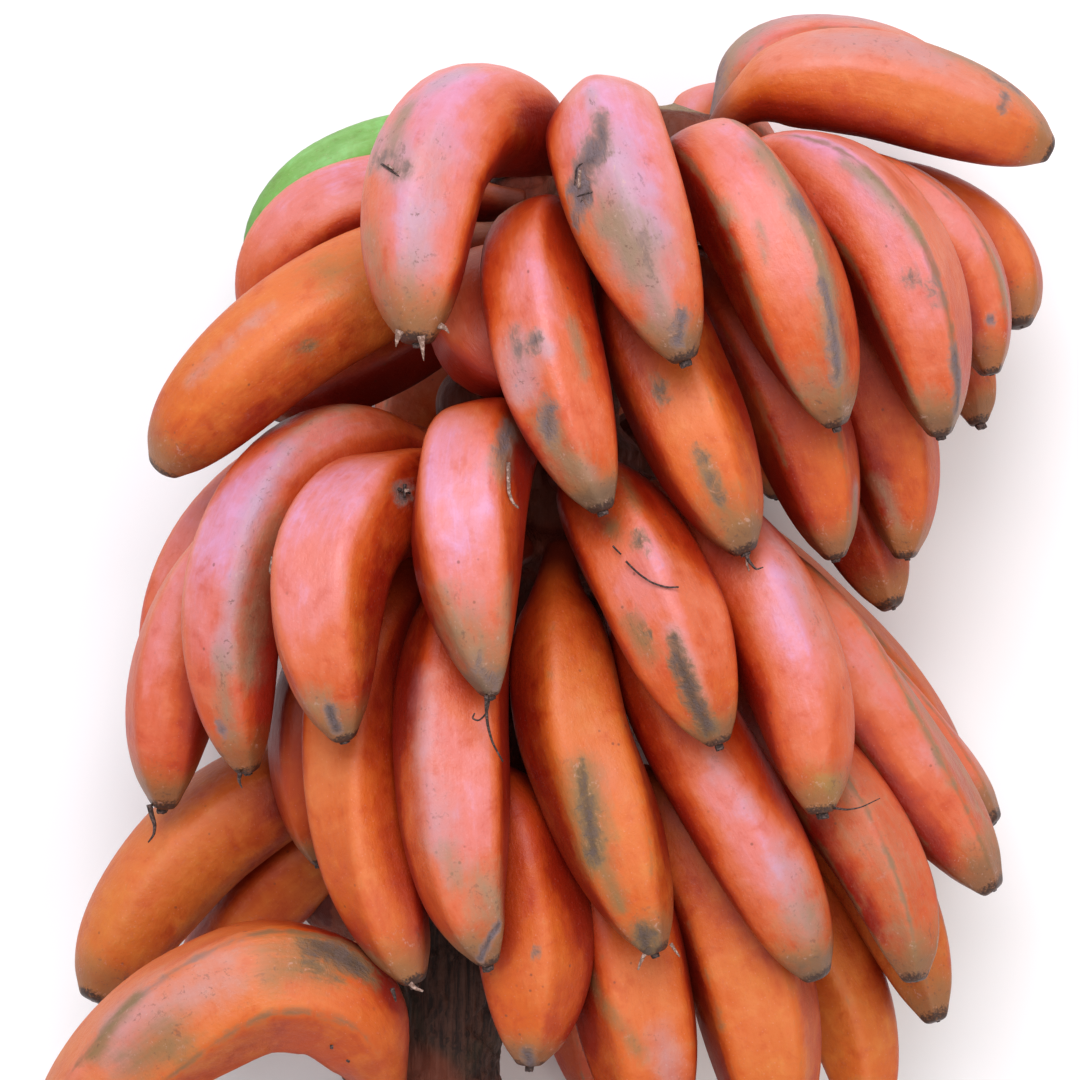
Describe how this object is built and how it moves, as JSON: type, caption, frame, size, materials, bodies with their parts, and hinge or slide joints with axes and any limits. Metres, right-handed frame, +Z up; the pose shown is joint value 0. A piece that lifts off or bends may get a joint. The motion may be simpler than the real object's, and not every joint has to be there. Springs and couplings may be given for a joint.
{
  "type": "red banana bunch",
  "caption": "Whole bunch of red bananas lying on its back, hands of curved fingers growing from crowns along one stalk.",
  "frame": {"origin": "centre of the bunch's footprint, on the surface it lies on", "axes": "+Y along the stalk from its thick cut end to its thin end, +Z up from the surface"},
  "size_m": [0.406, 0.5506, 0.2469],
  "materials": {
    "peel_pink": "satin",
    "peel_orange": "satin",
    "peel_green": "satin",
    "stalk": "rough"
  },
  "bodies": {
    "root": {"hand_1_finger_01": "peel_orange", "hand_1_finger_02": "peel_pink", "hand_1_finger_03": "peel_green", "hand_1_finger_04": "peel_pink", "hand_1_finger_05": "peel_pink", "hand_1_finger_06": "peel_pink", "hand_2_finger_01": "peel_pink", "hand_2_finger_02": "peel_orange", "hand_2_finger_03": "peel_pink", "hand_2_finger_04": "peel_pink", "hand_2_finger_05": "peel_pink", "hand_2_finger_06": "peel_pink", "hand_2_finger_07": "peel_pink", "hand_2_finger_08": "peel_orange", "hand_2_finger_09": "peel_pink", "hand_2_finger_10": "peel_pink", "hand_2_finger_11": "peel_pink", "hand_2_finger_12": "peel_orange", "hand_2_finger_13": "peel_orange", "hand_2_finger_14": "peel_orange", "hand_2_finger_15": "peel_orange", "hand_2_finger_16": "peel_orange", "hand_2_finger_17": "peel_pink", "hand_2_finger_18": "peel_pink", "hand_2_finger_19": "peel_pink", "hand_3_finger_01": "peel_pink", "hand_3_finger_02": "peel_pink", "hand_3_finger_03": "peel_pink", "hand_3_finger_04": "peel_pink", "hand_3_finger_05": "peel_pink", "hand_3_finger_06": "peel_pink", "hand_3_finger_07": "peel_pink", "hand_3_finger_08": "peel_pink", "hand_3_finger_09": "peel_pink", "hand_3_finger_10": "peel_orange", "hand_3_finger_11": "peel_orange", "hand_3_finger_12": "peel_pink", "hand_3_finger_13": "peel_orange", "hand_3_finger_14": "peel_pink", "hand_3_finger_15": "peel_pink", "hand_3_finger_16": "peel_orange", "hand_3_finger_17": "peel_orange", "hand_3_finger_18": "peel_pink", "hand_3_finger_19": "peel_pink", "hand_3_finger_20": "peel_pink", "hand_4_finger_01": "peel_orange", "hand_4_finger_02": "peel_orange", "hand_4_finger_03": "peel_orange", "hand_4_finger_04": "peel_orange", "hand_4_finger_05": "peel_orange", "hand_4_finger_06": "peel_orange", "hand_4_finger_07": "peel_pink", "hand_4_finger_08": "peel_pink", "hand_4_finger_09": "peel_pink", "hand_5_finger_01": "peel_orange", "hand_5_finger_02": "peel_orange", "hand_5_finger_03": "peel_orange", "hand_5_finger_04": "peel_orange", "hand_5_finger_05": "peel_orange", "stalk": "stalk"}
  },
  "joints": []
}
